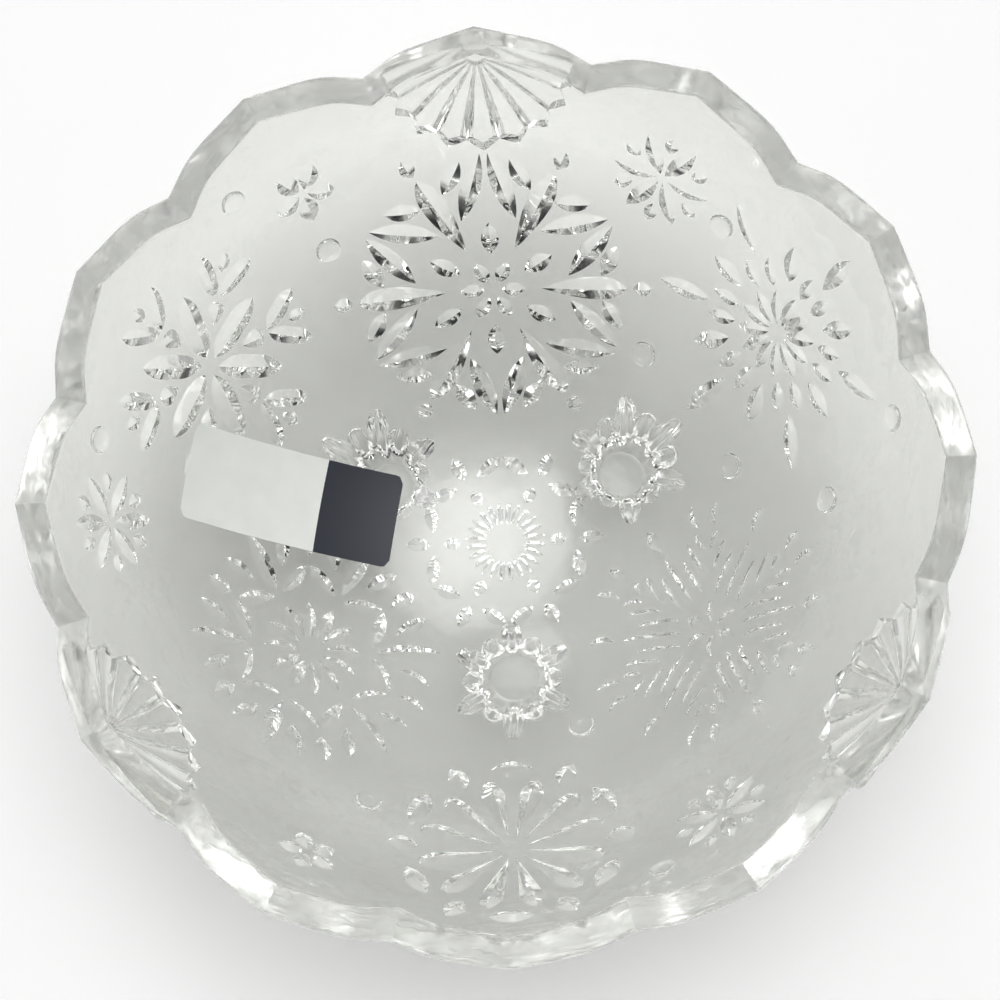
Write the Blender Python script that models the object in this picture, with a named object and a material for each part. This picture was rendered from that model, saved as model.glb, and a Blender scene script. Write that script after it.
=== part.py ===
# A pressed-glass bowl for floating votive candles: a round bowl with a scalloped rim,
# a raised fan under every fourth scallop, three snowflake-shaped feet and a paper sticker.
# Metres, +Z up. The table is z = 0 and the bowl's axis is the Z axis.
# The bowl's two faces are spherical caps, so every piece is placed on a cap by how far
# it lies from the axis, measured along the glass.

import math

import bmesh
import bpy
from mathutils import Euler, Vector

# Bowl
OUTER_DIAMETER = 0.15875  # across the scallop tips
HEIGHT = 0.066  # table to scallop tips
FOOT_HEIGHT = 0.009  # table to the lowest point of the bowl
BASE_THICKNESS = 0.007  # glass at the middle of the floor
RIM_THICKNESS = 0.0052  # across the top of the rim at a scallop tip
RIM_ROUNDING = 0.0009

# Scallops round the rim
SCALLOP_COUNT = 12
SCALLOP_RISE = 0.007  # notch to tip
SCALLOP_SHOULDER = 0.12  # how far the shoulders swell, as a share of the rise
SCALLOP_SHOULDER_PLACE = 1.6  # over 1, the shoulders sit nearer the notches

# Fans, on the outside under the scallops at these bearings
FAN_BEARINGS = (90, 210, 330)
FAN_RAYS = 9
FAN_RAY_ANGLE = 18  # degrees from ray to ray
FAN_LENGTH = 0.0212  # apex to the end of the middle ray
FAN_SIDE_LENGTH = 0.0178  # apex to the end of the outermost rays
FAN_POINT = 0.0012  # how far a ray's pointed end stands past its corners
FAN_APEX_DROP = 0.0062  # scallop tip to the fan's apex, down the glass
FAN_RELIEF = 0.0019  # height of a ray's crown over the wall, at its end
FAN_APEX_WIDTH = 0.0016  # where the rays start
FAN_ROOT = 0.0012  # how deep the fan is sunk into the wall that carries it

# Snowflakes pressed into the outside of the bowl, laid out flat and wrapped onto it.
# Each has its bearing, how far its middle lies from the axis along the glass and across
# the bearing, how much it is stretched along the glass and how fast that grows outwards,
# and its rings of cuts: shape, copies, first angle, inner radius, outer radius, width,
# sideways offset and lean. An offset makes a mirrored pair. Millimetres and degrees.
PATTERN_SPAN = 104.6  # axis to scallop tip along the glass, in the layout's millimetres
SNOWFLAKES = {
    "centre": (90, 0, 0.5, 1, 0, (
        ("petal", 12, 0, 3.9, 8.3, 2.3, 0, 0),
        ("leaf", 6, 30, 11.7, 17.5, 2.6, 2.5, -52))),
    "top": (90, 48.4, 0.2, 0.983, 0.003, (
        ("leaf", 6, 30, 7.0, 13.2, 3.3, 0, 0),
        ("petal", 6, 0, 10.0, 25.5, 4.5, 0, 0),
        ("leaf", 6, 30, 13.3, 26.8, 3.8, 2.9, -19))),
    "upper_right": (30, 67.3, 1.2, 0.96, 0, (
        ("petal", 12, 15, 1.8, 8.6, 2.4, 0, 0),
        ("leaf", 6, 30, 9.0, 14.6, 2.7, 2.1, 9.5),
        ("leaf", 6, 0, 10.8, 18.4, 3.5, 0, 0),
        ("leaf", 6, 30, 15.0, 25.6, 3.4, 0, 0))),
    "upper_left": (150, 67.6, -0.4, 1, 0, (
        ("leaf", 6, 0, 1.8, 15.0, 5.3, 0, 0),
        ("leaf", 6, 30, 8.2, 12.6, 3.4, 0, 0),
        ("leaf", 6, 30, 12.6, 21.6, 3.4, 2.8, 34))),
    "lower_left": (210, 44.2, -0.6, 1, 0, (
        ("petal", 12, 0, 2.6, 9.4, 2.7, 0, 0),
        ("leaf", 6, 30, 9.9, 17.6, 2.8, 2.7, -40),
        ("leaf", 6, 0, 12.8, 24.8, 3.5, 0, 0))),
    "lower_right": (330, 44.5, 1.0, 1, 0, (
        ("leaf", 6, 0, 6.2, 17.9, 2.1, 0, 0),
        ("leaf", 6, 0, 6.6, 14.9, 2.1, 2.7, 0),
        ("leaf", 6, 0, 10.4, 16.9, 1.9, 5.1, 0))),
    "bottom": (270, 67.1, -0.5, 1.09, 0.0032, (
        ("pencil", 12, 15, 3.2, 17.0, 4.0, 0, 0),
        ("leaf", 6, 0, 16.8, 22.4, 3.8, 0, 0),
        ("leaf", 6, 30, 15.4, 23.2, 4.0, 0, 90))),
    "left": (179, 81.0, 1.0, 1, 0, (("leaf", 6, 40, 1.0, 9.6, 3.1, 0, 0),)),
    "small_top_left": (119, 79.6, 0.2, 1, 0, (("petal", 5, 48, 0.9, 6.2, 3.6, 0, 0),)),
    "small_bottom_left": (239.6, 82.6, 0, 1, 0, (("petal", 5, 20, 0.9, 5.6, 3.4, 0, 0),)),
    "small_top_right": (62, 78.0, -0.5, 1, 0, (("leaf", 6, 0, 0.9, 9.4, 3.2, 0, 0),)),
    "small_bottom_right": (304, 78.0, -1.3, 1, 0, (("leaf", 6, 20, 0.9, 9.0, 3.0, 0, 0),)),
}
CUT_DEPTH_SHARE = 0.42  # depth of a cut, as a share of its width
CUT_SHOULDERS = {  # where a cut has its full width, as shares of half its length
    "leaf": (-0.4, 0.4),
    "petal": (0.1, 0.5),
    "pencil": (0.4, 0.68),
}
CUT_POINT_SHARE = 0.94  # where its pointed ends lie
CUT_OVERSHOOT = 0.15  # how far its cutter stands out of the glass

# Feet
FOOT_BEARINGS = {"foot_front": 270, "foot_right": 30, "foot_left": 150}
FOOT_CIRCLE_RADIUS = 0.0271  # bowl axis to the middle of a foot
FOOT_LOBE_PAIRS = 6  # long and short lobes in turn
FOOT_LONG_LOBE = 0.0119  # middle of the foot to a long lobe's tip, at the bowl
FOOT_SHORT_LOBE = 0.0094
FOOT_VALLEY = 0.0081  # middle of the foot to the valley between two lobes
FOOT_SOLE_RADIUS = 0.0047
FOOT_LOBE_FLARE = 0.9  # under 1, a lobe spreads near the sole already
FOOT_VALLEY_FLARE = 1.9  # over 1, a valley stays slim until it nears the bowl
SEAT_GAP = 0.0003  # clearance between pieces that touch

# Paper sticker on the inside of the bowl
STICKER_LENGTH = 0.0414
STICKER_WIDTH = 0.0172
STICKER_THICKNESS = 0.0003
STICKER_BEARING = 169.4
STICKER_DROP = 0.0540  # scallop tip to the sticker's middle, down the glass
STICKER_TURN = -1.33  # degrees off the line that points at the axis

# Mesh steps
STEPS_PER_SCALLOP = 8
OUTER_RINGS = 9
INNER_RINGS = 8
ROUNDING_STEPS = 2
FAN_STEPS_PER_RAY = 3
FAN_STEPS_ALONG = 3
FOOT_STEPS_PER_LOBE = 4
FOOT_LEVELS = (0.0, 0.12, 0.3, 0.52, 0.76, 1.0)
STICKER_STEPS = (14, 6)
SMOOTH_ANGLE = 35


class Cap:
    """A spherical cap that opens upwards, from its lowest point out to its edge."""

    def __init__(self, low, edge_radius, edge_height):
        depth = edge_height - low
        self.radius = (edge_radius**2 + depth**2) / (2 * depth)
        self.centre = low + self.radius

    def angle_at(self, height):
        """The angle at the sphere's middle between straight down and this height."""
        return math.acos((self.centre - height) / self.radius)

    def ring(self, angle, lift=0.0):
        """Distance from the axis and height, at an angle from straight down."""
        reach = self.radius + lift
        return reach * math.sin(angle), self.centre - reach * math.cos(angle)

    def height_at(self, distance):
        return self.centre - math.sqrt(self.radius**2 - distance**2)

    def point(self, bearing, along, across, lift=0.0):
        """A point on the cap: along is measured down the bearing's own line from the
        axis, across is square to that line, and a positive lift goes outwards."""
        turn = math.radians(bearing)
        away = Vector((math.cos(turn), math.sin(turn), 0))
        side = Vector((-math.sin(turn), math.cos(turn), 0))
        slope = along / self.radius
        lean = across / self.radius
        line = away * math.sin(slope) + Vector((0, 0, -1)) * math.cos(slope)
        direction = line * math.cos(lean) + side * math.sin(lean)
        return Vector((0, 0, self.centre)) + direction * (self.radius + lift)


EDGE_HEIGHT = HEIGHT - RIM_ROUNDING  # where the rim's rounded edges meet the caps
OUTSIDE = Cap(FOOT_HEIGHT, OUTER_DIAMETER / 2, EDGE_HEIGHT)
INSIDE = Cap(FOOT_HEIGHT + BASE_THICKNESS, OUTER_DIAMETER / 2 - RIM_THICKNESS, EDGE_HEIGHT)


def clear_scene():
    for item in list(bpy.data.objects):
        bpy.data.objects.remove(item, do_unlink=True)


def make_material(name, colour, roughness, transmission=0.0):
    material = bpy.data.materials.new(name)
    material.use_nodes = True
    shader = material.node_tree.nodes["Principled BSDF"]
    shader.inputs["Base Color"].default_value = (*colour, 1)
    shader.inputs["Roughness"].default_value = roughness
    shader.inputs["Metallic"].default_value = 0
    shader.inputs["Transmission Weight"].default_value = transmission
    shader.inputs["IOR"].default_value = 1.52
    return material


def add_object(name, form, material):
    """Turn a finished bmesh into a named object, shaded smooth between its edges."""
    bmesh.ops.recalc_face_normals(form, faces=form.faces)
    mesh = bpy.data.meshes.new(name)
    form.to_mesh(mesh)
    form.free()
    mesh.materials.append(material)
    mesh.shade_smooth()
    mesh.set_sharp_from_angle(angle=math.radians(SMOOTH_ANGLE))
    item = bpy.data.objects.new(name, mesh)
    bpy.context.scene.collection.objects.link(item)
    return item


def join_rows(form, lower, upper, closed=True):
    """Quads between two rows of as many vertices."""
    count = len(lower)
    for i in range(count if closed else count - 1):
        j = (i + 1) % count
        form.faces.new((lower[i], lower[j], upper[j], upper[i]))


def close_with_fan(form, row, middle):
    for i, vertex in enumerate(row):
        form.faces.new((vertex, row[(i + 1) % len(row)], middle))


def rim_height(bearing):
    """Height of the rim: pointed arches with full shoulders that meet in notches."""
    pitch = 360 / SCALLOP_COUNT
    from_tip = abs((bearing + pitch / 2) % pitch - pitch / 2) / (pitch / 2)
    swell = math.sin(math.pi * from_tip**SCALLOP_SHOULDER_PLACE) ** 2
    return HEIGHT - SCALLOP_RISE * (from_tip - SCALLOP_SHOULDER * swell)


def rim_corner(top, cap, inwards):
    """Points that round the edge between a face of the bowl and the top of its rim."""
    distance, _ = cap.ring(cap.angle_at(top - RIM_ROUNDING))
    points = []
    for step in range(ROUNDING_STEPS + 1):
        turn = math.radians(90) * step / ROUNDING_STEPS
        shift = RIM_ROUNDING * (1 - math.cos(turn))
        rise = RIM_ROUNDING * (math.sin(turn) - 1)
        points.append((distance + inwards * shift, top + rise))
    return points


def bowl_profile(bearing):
    """Distance and height of each ring at a bearing: up the outside, over the rim and
    down the inside, without the two middle points."""
    top = rim_height(bearing)
    outer_angle = OUTSIDE.angle_at(top - RIM_ROUNDING)
    inner_angle = INSIDE.angle_at(top - RIM_ROUNDING)
    outer = [OUTSIDE.ring(outer_angle * i / OUTER_RINGS) for i in range(1, OUTER_RINGS)]
    inner = [INSIDE.ring(inner_angle * i / INNER_RINGS) for i in range(1, INNER_RINGS)]
    rim = rim_corner(top, OUTSIDE, -1) + rim_corner(top, INSIDE, 1)[::-1]
    return outer + rim + inner[::-1]


def make_bowl(material):
    columns = SCALLOP_COUNT * STEPS_PER_SCALLOP
    bearings = [360 * i / columns for i in range(columns)]
    profiles = [bowl_profile(bearing) for bearing in bearings]
    form = bmesh.new()
    rows = []
    for level in range(len(profiles[0])):
        row = []
        for bearing, profile in zip(bearings, profiles):
            distance, height = profile[level]
            turn = math.radians(bearing)
            row.append(form.verts.new((distance * math.cos(turn), distance * math.sin(turn), height)))
        rows.append(row)
    for lower, upper in zip(rows, rows[1:]):
        join_rows(form, lower, upper)
    close_with_fan(form, rows[0], form.verts.new((0, 0, FOOT_HEIGHT)))
    close_with_fan(form, rows[-1], form.verts.new((0, 0, FOOT_HEIGHT + BASE_THICKNESS)))
    return add_object("bowl", form, material)


def fan_row(bearing, part, raised):
    """One row of the fan from its first ray to its last, at a share of the rays' length:
    raised for its crown, and otherwise sunk into the wall."""
    tip = OUTSIDE.radius * OUTSIDE.angle_at(HEIGHT)
    steps = FAN_RAYS * FAN_STEPS_PER_RAY
    row = []
    for i in range(steps + 1):
        ray = i / FAN_STEPS_PER_RAY
        from_crown = 2 * abs(ray - int(min(ray, FAN_RAYS - 0.5)) - 0.5)
        direction = math.radians((ray - FAN_RAYS / 2) * FAN_RAY_ANGLE)
        longest = FAN_LENGTH + (FAN_SIDE_LENGTH - FAN_LENGTH) * math.sin(direction) ** 2
        end = longest - FAN_POINT * from_crown
        reach = FAN_APEX_WIDTH + (end - FAN_APEX_WIDTH) * part
        crown = math.cos(from_crown * math.pi / 2)
        relief = FAN_RELIEF * (0.4 + 0.6 * part) * (0.3 + 0.7 * crown)
        lift = relief if raised else -FAN_ROOT
        along = tip - FAN_APEX_DROP - reach * math.cos(direction)
        row.append(OUTSIDE.point(bearing, along, reach * math.sin(direction), lift))
    return row


def add_fan(bowl, bearing, material):
    """Raise one fan of rounded rays on the outside of the bowl."""
    form = bmesh.new()
    shares = [i / FAN_STEPS_ALONG for i in range(FAN_STEPS_ALONG + 1)]
    crown = [[form.verts.new(p) for p in fan_row(bearing, share, True)] for share in shares]
    root = [[form.verts.new(p) for p in fan_row(bearing, share, False)] for share in shares]
    for rows in (crown, root):
        for lower, upper in zip(rows, rows[1:]):
            join_rows(form, lower, upper, closed=False)
    for edge in (0, -1):
        join_rows(form, crown[edge], root[edge], closed=False)
        join_rows(form, [row[edge] for row in crown], [row[edge] for row in root], closed=False)
    fan = add_object(f"fan_form_{bearing}", form, material)
    fan.hide_render = True
    fan.display_type = "WIRE"
    union = bowl.modifiers.new(f"Fan {bearing}", "BOOLEAN")
    union.operation = "UNION"
    union.object = fan


def cut_points(shape, length, width):
    """The eight corners of a boat-shaped cutter in its own plane: two ends, then the keel
    and both sides at each shoulder. The third value is depth into the glass."""
    depth = width * CUT_DEPTH_SHARE
    spread = width / 2 * (1 + CUT_OVERSHOOT / depth)
    shoulders = CUT_SHOULDERS[shape]
    points = []
    for end, shoulder in zip((-CUT_POINT_SHARE, CUT_POINT_SHARE), shoulders):
        reach = end + (end - shoulder) * CUT_OVERSHOOT / depth
        points.append((reach * length / 2, 0, -CUT_OVERSHOOT))
    for shoulder in shoulders:
        x = shoulder * length / 2
        points += [(x, 0, depth), (x, -spread, -CUT_OVERSHOOT), (x, spread, -CUT_OVERSHOOT)]
    return points


CUT_FACES = (
    (0, 3, 2), (2, 3, 6, 5), (5, 6, 1),  # one flank
    (0, 2, 4), (2, 5, 7, 4), (5, 1, 7),  # the other
    (0, 4, 3), (3, 4, 7, 6), (6, 7, 1),  # the outer side
)


def add_cut(form, flake, points, angle, lean, distance, offset):
    """One cutter at a place in a snowflake, wrapped onto the outside of the bowl."""
    bearing, along, across, stretch, bend, _ = flake
    scale = OUTSIDE.radius * OUTSIDE.angle_at(HEIGHT) / PATTERN_SPAN
    place = Vector((distance, offset, 0))
    place.rotate(Euler((0, 0, math.radians(angle))))
    corners = []
    for point in points:
        corner = Vector(point)
        corner.rotate(Euler((0, 0, math.radians(angle + lean))))
        corner += place
        down = along + (stretch + bend * corner.y) * corner.y
        corners.append(form.verts.new(OUTSIDE.point(
            bearing, down * scale, (across - corner.x) * scale, -corner.z * scale)))
    for face in CUT_FACES:
        form.faces.new([corners[i] for i in face])


def add_snowflake(bowl, name, flake, material):
    """Press one snowflake of V-shaped cuts into the outside of the bowl."""
    form = bmesh.new()
    for shape, copies, first, inner, outer, width, offset, lean in flake[-1]:
        points = cut_points(shape, outer - inner, width)
        for side in ((1, -1) if offset else (1,)):
            for i in range(copies):
                add_cut(form, flake, points, first + 360 * i / copies, side * lean,
                        (inner + outer) / 2, side * offset)
    cutter = add_object(f"snowflake_form_{name}", form, material)
    cutter.hide_render = True
    cutter.display_type = "WIRE"
    cut = bowl.modifiers.new(f"Snowflake {name}", "BOOLEAN")
    cut.operation = "DIFFERENCE"
    cut.object = cutter


def star_radius(turn):
    """Outline of a foot at the bowl: long and short rounded lobes in turn."""
    lobe = turn / (2 * math.pi) * FOOT_LOBE_PAIRS * 2
    nearest = round(lobe)
    tip = FOOT_LONG_LOBE if nearest % 2 == 0 else FOOT_SHORT_LOBE
    from_tip = 2 * abs(lobe - nearest)
    return FOOT_VALLEY + (tip - FOOT_VALLEY) * (1 - from_tip**2)


def foot_radius(turn, level):
    """Middle of a foot to its flank, which runs from the round sole to the star."""
    star = star_radius(turn)
    lobe = (star - FOOT_VALLEY) / (FOOT_LONG_LOBE - FOOT_VALLEY)
    flare = FOOT_VALLEY_FLARE + (FOOT_LOBE_FLARE - FOOT_VALLEY_FLARE) * lobe
    return FOOT_SOLE_RADIUS + (star - FOOT_SOLE_RADIUS) * level**flare


def foot_row(form, middle, share, level):
    """One ring of a foot: share scales its outline, level is its place from the sole
    to the underside of the bowl."""
    steps = FOOT_LOBE_PAIRS * 2 * FOOT_STEPS_PER_LOBE
    bearing = math.atan2(middle.y, middle.x)
    row = []
    for i in range(steps):
        turn = 2 * math.pi * i / steps
        radius = foot_radius(turn, level)
        x = middle.x + share * radius * math.cos(turn + bearing)
        y = middle.y + share * radius * math.sin(turn + bearing)
        seat = OUTSIDE.height_at(math.hypot(x, y)) - SEAT_GAP
        row.append(form.verts.new((x, y, seat * level)))
    return row


def make_foot(name, bearing, material):
    turn = math.radians(bearing)
    middle = Vector((math.cos(turn), math.sin(turn), 0)) * FOOT_CIRCLE_RADIUS
    form = bmesh.new()
    rows = [foot_row(form, middle, 1.0, level) for level in FOOT_LEVELS]
    rows.append(foot_row(form, middle, 0.5, 1.0))
    for lower, upper in zip(rows, rows[1:]):
        join_rows(form, lower, upper)
    form.faces.new(rows[0])
    seat = OUTSIDE.height_at(FOOT_CIRCLE_RADIUS) - SEAT_GAP
    close_with_fan(form, rows[-1], form.verts.new((middle.x, middle.y, seat)))
    return add_object(name, form, material)


def make_sticker(material):
    """A sheet of paper that follows the inside of the bowl."""
    turn = math.radians(STICKER_TURN)
    distance = INSIDE.radius * INSIDE.angle_at(HEIGHT) - STICKER_DROP
    long_steps, wide_steps = STICKER_STEPS
    form = bmesh.new()
    sheets = []
    for lift in (-SEAT_GAP, -SEAT_GAP - STICKER_THICKNESS):
        sheet = []
        for i in range(long_steps + 1):
            row = []
            for j in range(wide_steps + 1):
                x = STICKER_LENGTH * (i / long_steps - 0.5)
                y = STICKER_WIDTH * (j / wide_steps - 0.5)
                along = distance + x * math.cos(turn) - y * math.sin(turn)
                across = x * math.sin(turn) + y * math.cos(turn)
                row.append(form.verts.new(INSIDE.point(STICKER_BEARING, along, across, lift)))
            sheet.append(row)
        sheets.append(sheet)
        for lower, upper in zip(sheet, sheet[1:]):
            join_rows(form, lower, upper, closed=False)
    under, top = sheets
    for edge in (0, -1):
        join_rows(form, under[edge], top[edge], closed=False)
        join_rows(form, [row[edge] for row in under], [row[edge] for row in top], closed=False)
    return add_object("sticker", form, material)


def main():
    clear_scene()
    glass = make_material("clear_glass", (0.93, 0.95, 0.93), 0.03, transmission=1.0)
    foot_glass = make_material("foot_glass", (0.9, 0.93, 0.91), 0.03, transmission=1.0)
    paper = make_material("sticker_paper", (0.8, 0.82, 0.79), 0.55)
    bowl = make_bowl(glass)
    for bearing in FAN_BEARINGS:
        add_fan(bowl, bearing, glass)
    for name, flake in SNOWFLAKES.items():
        add_snowflake(bowl, name, flake, glass)
    for name, bearing in FOOT_BEARINGS.items():
        make_foot(name, bearing, foot_glass)
    make_sticker(paper)


main()
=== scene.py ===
import math
from functools import partial

import bmesh
import bpy
from mathutils import Matrix, Vector


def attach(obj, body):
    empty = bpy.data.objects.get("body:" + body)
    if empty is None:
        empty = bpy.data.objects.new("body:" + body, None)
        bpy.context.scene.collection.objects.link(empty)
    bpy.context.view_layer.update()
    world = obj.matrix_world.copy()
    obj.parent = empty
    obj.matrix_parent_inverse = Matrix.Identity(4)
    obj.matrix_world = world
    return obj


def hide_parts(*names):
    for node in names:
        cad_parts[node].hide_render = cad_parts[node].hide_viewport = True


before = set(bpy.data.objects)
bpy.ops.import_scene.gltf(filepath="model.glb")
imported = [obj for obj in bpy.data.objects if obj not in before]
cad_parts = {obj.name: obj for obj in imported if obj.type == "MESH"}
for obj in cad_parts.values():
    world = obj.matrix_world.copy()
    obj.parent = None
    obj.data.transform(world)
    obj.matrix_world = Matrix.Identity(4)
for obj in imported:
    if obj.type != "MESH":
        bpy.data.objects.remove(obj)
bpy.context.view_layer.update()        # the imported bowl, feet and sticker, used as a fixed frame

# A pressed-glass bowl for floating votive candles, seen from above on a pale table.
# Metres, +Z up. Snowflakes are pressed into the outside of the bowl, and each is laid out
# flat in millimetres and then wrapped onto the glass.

scene = bpy.context.scene
scene.view_settings.view_transform = 'Standard'
lightBounces = 28        # light runs a long way inside the wall
for kind in ("max_bounces", "transmission_bounces", "glossy_bounces"):
    setattr(scene.cycles, kind, lightBounces)
mm = 0.001
print("frame loaded")


# Helpers for node trees

def newTree(name, inputs):
    tree = bpy.data.node_groups.new(name, "GeometryNodeTree")
    tree.interface.new_socket("Geometry", in_out="INPUT", socket_type="NodeSocketGeometry")
    tree.interface.new_socket("Geometry", in_out="OUTPUT", socket_type="NodeSocketGeometry")
    for label, kind, value in inputs:
        socket = tree.interface.new_socket(label, in_out="INPUT", socket_type="NodeSocket" + kind)
        if value is not None:
            socket.default_value = value
    return tree, tree.nodes.new("NodeGroupInput"), tree.nodes.new("NodeGroupOutput")


def feed(tree, socket, value):
    # a value is a number, a vector, a colour or another node's output
    if isinstance(value, bpy.types.NodeSocket):
        tree.links.new(value, socket)
    else:
        socket.default_value = value


def addNode(tree, kind, settings=None, **sockets):
    node = tree.nodes.new(kind)
    for name, value in (settings or {}).items():
        setattr(node, name, value)
    for name, value in sockets.items():
        feed(tree, node.inputs[name.replace("_", " ")], value)
    return node


def calc(tree, operation, *values):
    node = addNode(tree, "ShaderNodeMath", {"operation": operation})
    for socket, value in zip(node.inputs, values):
        feed(tree, socket, value)
    return node.outputs[0]


def vectorCalc(tree, operation, output, vector, other):
    node = addNode(tree, "ShaderNodeVectorMath", {"operation": operation})
    feed(tree, node.inputs[0], vector)
    feed(tree, node.inputs[1], other)
    return node.outputs[output]


def partOf(tree, vector, letter):
    return addNode(tree, "ShaderNodeSeparateXYZ", Vector=vector).outputs[letter]


def span(tree, value, low, high, start=0.0, end=1.0):
    # takes values from low to high to the run from start to end
    return addNode(tree, "ShaderNodeMapRange", Value=value, From_Min=low, From_Max=high,
                   To_Min=start, To_Max=end).outputs["Result"]


def noise(tree, place, scale, detail, roughness=0.5):
    return addNode(tree, "ShaderNodeTexNoise", Vector=place, Scale=scale, Detail=detail,
                   Roughness=roughness).outputs["Fac"]


def blend(tree, share, first, second):
    # from the first colour at 0 to the second at 1
    return addNode(tree, "ShaderNodeMix", {"data_type": "RGBA"}, Factor=share,
                   A=first, B=second).outputs["Result"]


def bumpInto(tree, shader, height, strength, distance):
    bump = addNode(tree, "ShaderNodeBump", Strength=strength, Distance=distance, Height=height)
    tree.links.new(bump.outputs["Normal"], shader.inputs["Normal"])


def newMaterial(name):
    material = bpy.data.materials.new(name)
    material.use_nodes = True
    return material, material.node_tree, material.node_tree.nodes["Principled BSDF"]


def pointsRound(tree, copies):
    # a point for each copy, and its angle round the circle
    points = addNode(tree, "GeometryNodePoints", Count=copies).outputs["Points"]
    index = tree.nodes.new("GeometryNodeInputIndex").outputs["Index"]
    return points, calc(tree, "MULTIPLY", index, calc(tree, "DIVIDE", 2 * math.pi, copies))


def finishTree(tree, geometry, material, result):
    # makes instances real, gives them their material and puts them out
    whole = addNode(tree, "GeometryNodeRealizeInstances", Geometry=geometry)
    finished = addNode(tree, "GeometryNodeSetMaterial", Geometry=whole.outputs["Geometry"],
                       Material=material)
    tree.links.new(finished.outputs["Geometry"], result.inputs["Geometry"])
    return tree


# Helpers for meshes

def plainMesh(name, source, tree, values):
    # runs a tree on a mesh and keeps the result as a plain mesh
    carrier = bpy.data.objects.new(name, source)
    scene.collection.objects.link(carrier)
    modifier = carrier.modifiers.new(tree.name, "NODES")
    modifier.node_group = tree
    labels = {item.name: item.identifier for item in tree.interface.items_tree
              if item.item_type == "SOCKET" and item.in_out == "INPUT"}
    for label, value in values.items():
        modifier[labels[label]] = value
    graph = bpy.context.evaluated_depsgraph_get()
    mesh = bpy.data.meshes.new_from_object(carrier.evaluated_get(graph), depsgraph=graph)
    carrier.modifiers.remove(modifier)
    bpy.data.objects.remove(carrier)
    return mesh


def meshFrom(form, name):
    # ends a form under way and keeps it as a mesh
    mesh = bpy.data.meshes.new(name)
    form.to_mesh(mesh)
    form.free()
    return mesh


def meshObject(name, mesh):
    piece = bpy.data.objects.new(name, mesh)
    scene.collection.objects.link(piece)
    return piece


def skin(form, rings):
    # faces between closed rings of points, where a ring of one point is a pole
    for lower, upper in zip(rings, rings[1:]):
        count = max(len(lower), len(upper))
        for i in range(count):
            j = (i + 1) % count
            corners = (lower[i % len(lower)], lower[j % len(lower)],
                       upper[j % len(upper)], upper[i % len(upper)])
            form.faces.new(list(dict.fromkeys(corners)))


def closedSheet(name, upperRows, lowerRows):
    # two sheets of as many points, joined round their edges into a closed form
    form = bmesh.new()
    upper = [[form.verts.new(point) for point in row] for row in upperRows]
    lower = [[form.verts.new(point) for point in row] for row in lowerRows]

    def join(first, second):
        for a, b, c, d in zip(first, first[1:], second[1:], second):
            form.faces.new((a, b, c, d))

    for rows in (upper, lower):
        for first, second in zip(rows, rows[1:]):
            join(first, second)
    for edge in (0, -1):
        join(upper[edge], lower[edge])
        join([row[edge] for row in upper], [row[edge] for row in lower])
    bmesh.ops.recalc_face_normals(form, faces=form.faces)
    return meshFrom(form, name)


# Glass

# Each noise is scale, detail and roughness, each bump is strength and height, and each span
# is the two levels between which a change runs.
glassLook = {
    "tint": (0.855, 0.863, 0.832),
    "index": 1.52,           # index of refraction
    "clouds": (70.0, 6.0, 0.65),
    "cloudSpan": (0.35, 0.65),
    "cloudTint": 0.965,      # tint in the clouds, as a share of the tint
    "ripple": (130.0, 2.0),
    "rippleBump": (0.4, 0.0004),
    "film": (240.0, 4.0),
    "filmSpan": (0.35, 0.8),
    "haze": 0.03,            # roughness where the film is thickest
    "rimFrom": 0.054,        # height over the table at which the rim starts
    "rimSpan": (0.5, 0.75),  # how far upwards the rim's face has to look
    "rimBlur": 0.2,          # roughness of the rim's top
}


def glassMaterial():
    # clouds in the tint, a wavy face, a thin film on it, and a rim that is duller on top
    material, tree, shader = newMaterial("pressed_glass")
    do = partial(calc, tree)
    shader.inputs["Transmission Weight"].default_value = 1.0
    shader.inputs["IOR"].default_value = glassLook["index"]
    shader.inputs["Metallic"].default_value = 0.0
    given = tree.nodes.new("ShaderNodeTexCoord").outputs
    place = given["Object"]
    clouds = span(tree, noise(tree, place, *glassLook["clouds"]), *glassLook["cloudSpan"])
    clouded = [value * glassLook["cloudTint"] for value in glassLook["tint"]]
    tone = blend(tree, clouds, (*clouded, 1), (*glassLook["tint"], 1))
    tree.links.new(tone, shader.inputs["Base Color"])
    bumpInto(tree, shader, noise(tree, place, *glassLook["ripple"]), *glassLook["rippleBump"])
    film = noise(tree, place, *glassLook["film"])
    haze = span(tree, film, *glassLook["filmSpan"], 0.0, glassLook["haze"])
    upward = span(tree, partOf(tree, given["Normal"], "Z"), *glassLook["rimSpan"])
    onRim = do("GREATER_THAN", partOf(tree, place, "Z"), glassLook["rimFrom"])
    rimTop = do("MULTIPLY", upward, onRim)
    tree.links.new(do("ADD", haze, do("MULTIPLY", rimTop, glassLook["rimBlur"])),
                   shader.inputs["Roughness"])
    return material


pressedGlass = glassMaterial()


# The bowl

bowl = {
    "diameter": 0.15875,     # across the scallop tips
    "height": 0.066,
    "footHeight": 0.009,     # table to the lowest point of the bowl
    "base": 0.007,           # glass at the middle of the floor
    "rimWidth": 0.0052,
    "rimRounding": 0.0009,
    "rimCorner": 0.5,        # 1 is a round edge, less is squarer
    "scallops": 12,
    "rise": 0.007,           # notch to tip
    "shoulder": 0.12,        # swell of the shoulders, as a share of the rise
    "shoulderPlace": 1.6,    # over 1, the shoulders sit nearer the notches
    "stepsPerScallop": 24,
    "outerRings": 30,
    "innerRings": 26,
    "roundingSteps": 5,
}


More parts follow.
